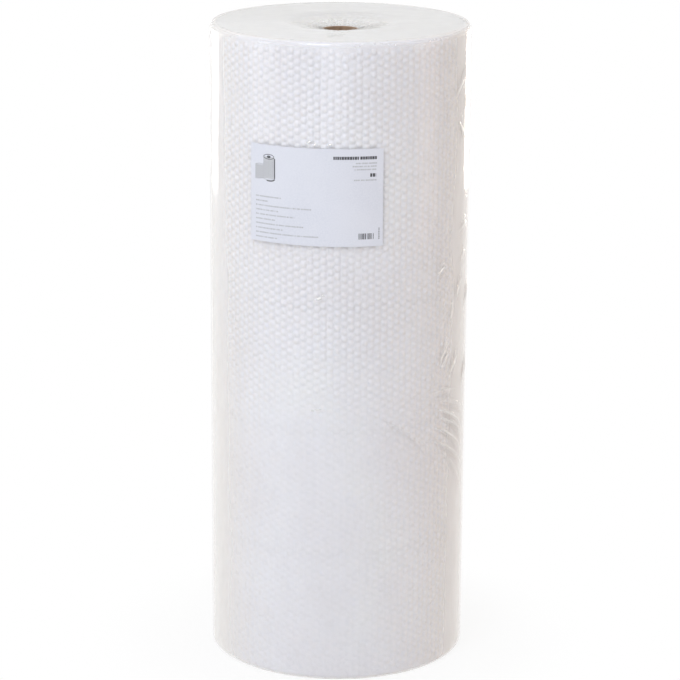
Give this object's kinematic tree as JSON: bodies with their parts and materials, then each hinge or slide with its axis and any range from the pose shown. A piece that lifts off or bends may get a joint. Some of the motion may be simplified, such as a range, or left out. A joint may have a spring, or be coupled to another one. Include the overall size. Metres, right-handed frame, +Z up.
{
  "type": "bubble wrap roll",
  "caption": "Tall roll of bubble film wound on a cardboard core, in a clear sleeve gathered round the core's mouth, with a paper label on the side.",
  "frame": {"origin": "middle of the roll's base, on the surface that it stands on", "axes": "+Z up the roll's axis, -Y towards the front, with the label a little to the left of the front"},
  "size_m": [0.4031, 0.4039, 1.0013],
  "materials": {
    "bubble_film": "translucent white bubble film, wound",
    "core_board": "raw spiral-wound kraft board",
    "sleeve_film": "clear glossy film with fine wrinkles",
    "label_paper": "smooth printed paper, pale blue-white"
  },
  "bodies": {
    "root": {"bubble_film": "bubble_film", "core_tube": "core_board", "film_sleeve": "sleeve_film", "label": "label_paper"}
  },
  "joints": []
}
